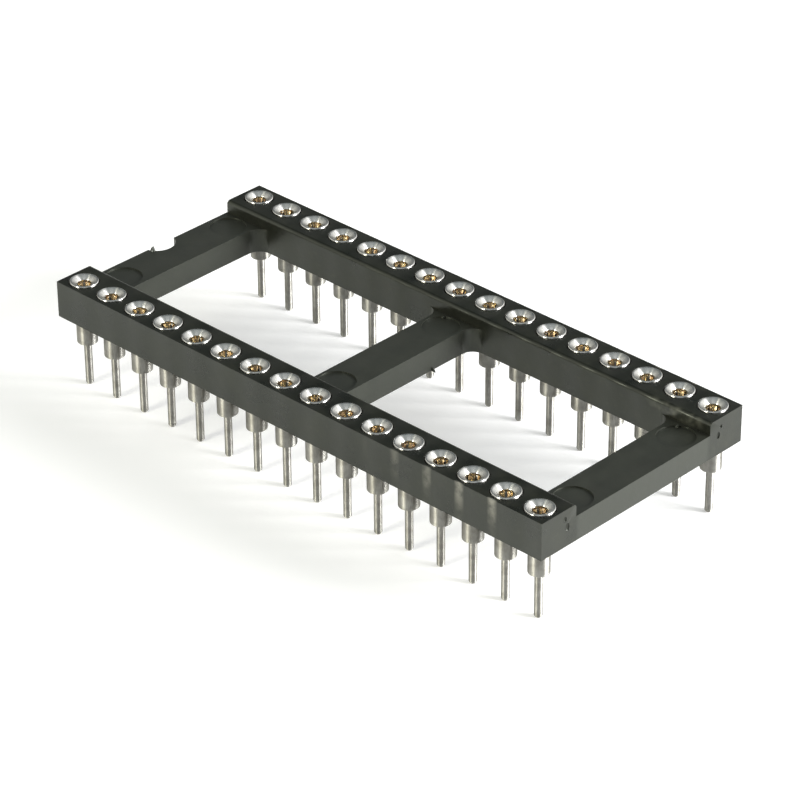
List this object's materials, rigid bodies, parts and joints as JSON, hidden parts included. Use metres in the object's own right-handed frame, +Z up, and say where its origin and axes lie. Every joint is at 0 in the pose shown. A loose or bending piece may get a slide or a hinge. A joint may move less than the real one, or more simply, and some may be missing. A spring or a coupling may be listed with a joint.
{
  "type": "DIP socket",
  "caption": "Open frame DIP socket with a row of turned contacts along each long side for an integrated circuit, soldered to a circuit board by round tails.",
  "frame": {"origin": "centre of the contact pattern, on the circuit board's top face, where the shoulders of the contacts seat", "axes": "+X along the rows, away from the rounded pin 1 notch; +Y across the rows, away from the row of contacts 1 to 16; +Z up from the board to the side where the chip goes in"},
  "size_m": [0.0406, 0.0176, 0.0074],
  "materials": {
    "frame_plastic": "satin moulded, black to dark grey",
    "sleeve_tin": "bright tin plated brass, with faint turning marks",
    "clip_gold": "gold plated beryllium copper"
  },
  "bodies": {
    "root": {"socket_frame": "frame_plastic", "contact_sleeve_01": "sleeve_tin", "contact_sleeve_02": "sleeve_tin", "contact_sleeve_03": "sleeve_tin", "contact_sleeve_04": "sleeve_tin", "contact_sleeve_05": "sleeve_tin", "contact_sleeve_06": "sleeve_tin", "contact_sleeve_07": "sleeve_tin", "contact_sleeve_08": "sleeve_tin", "contact_sleeve_09": "sleeve_tin", "contact_sleeve_10": "sleeve_tin", "contact_sleeve_11": "sleeve_tin", "contact_sleeve_12": "sleeve_tin", "contact_sleeve_13": "sleeve_tin", "contact_sleeve_14": "sleeve_tin", "contact_sleeve_15": "sleeve_tin", "contact_sleeve_16": "sleeve_tin", "contact_sleeve_17": "sleeve_tin", "contact_sleeve_18": "sleeve_tin", "contact_sleeve_19": "sleeve_tin", "contact_sleeve_20": "sleeve_tin", "contact_sleeve_21": "sleeve_tin", "contact_sleeve_22": "sleeve_tin", "contact_sleeve_23": "sleeve_tin", "contact_sleeve_24": "sleeve_tin", "contact_sleeve_25": "sleeve_tin", "contact_sleeve_26": "sleeve_tin", "contact_sleeve_27": "sleeve_tin", "contact_sleeve_28": "sleeve_tin", "contact_sleeve_29": "sleeve_tin", "contact_sleeve_30": "sleeve_tin", "contact_sleeve_31": "sleeve_tin", "contact_sleeve_32": "sleeve_tin", "contact_clips_01_32": "clip_gold", "contact_clips_02_31": "clip_gold", "contact_clips_03_30": "clip_gold", "contact_clips_04_29": "clip_gold", "contact_clips_05_28": "clip_gold", "contact_clips_06_27": "clip_gold", "contact_clips_07_26": "clip_gold", "contact_clips_08_25": "clip_gold", "contact_clips_09_24": "clip_gold", "contact_clips_10_23": "clip_gold", "contact_clips_11_22": "clip_gold", "contact_clips_12_21": "clip_gold", "contact_clips_13_20": "clip_gold", "contact_clips_14_19": "clip_gold", "contact_clips_15_18": "clip_gold", "contact_clips_16_17": "clip_gold"}
  },
  "joints": []
}
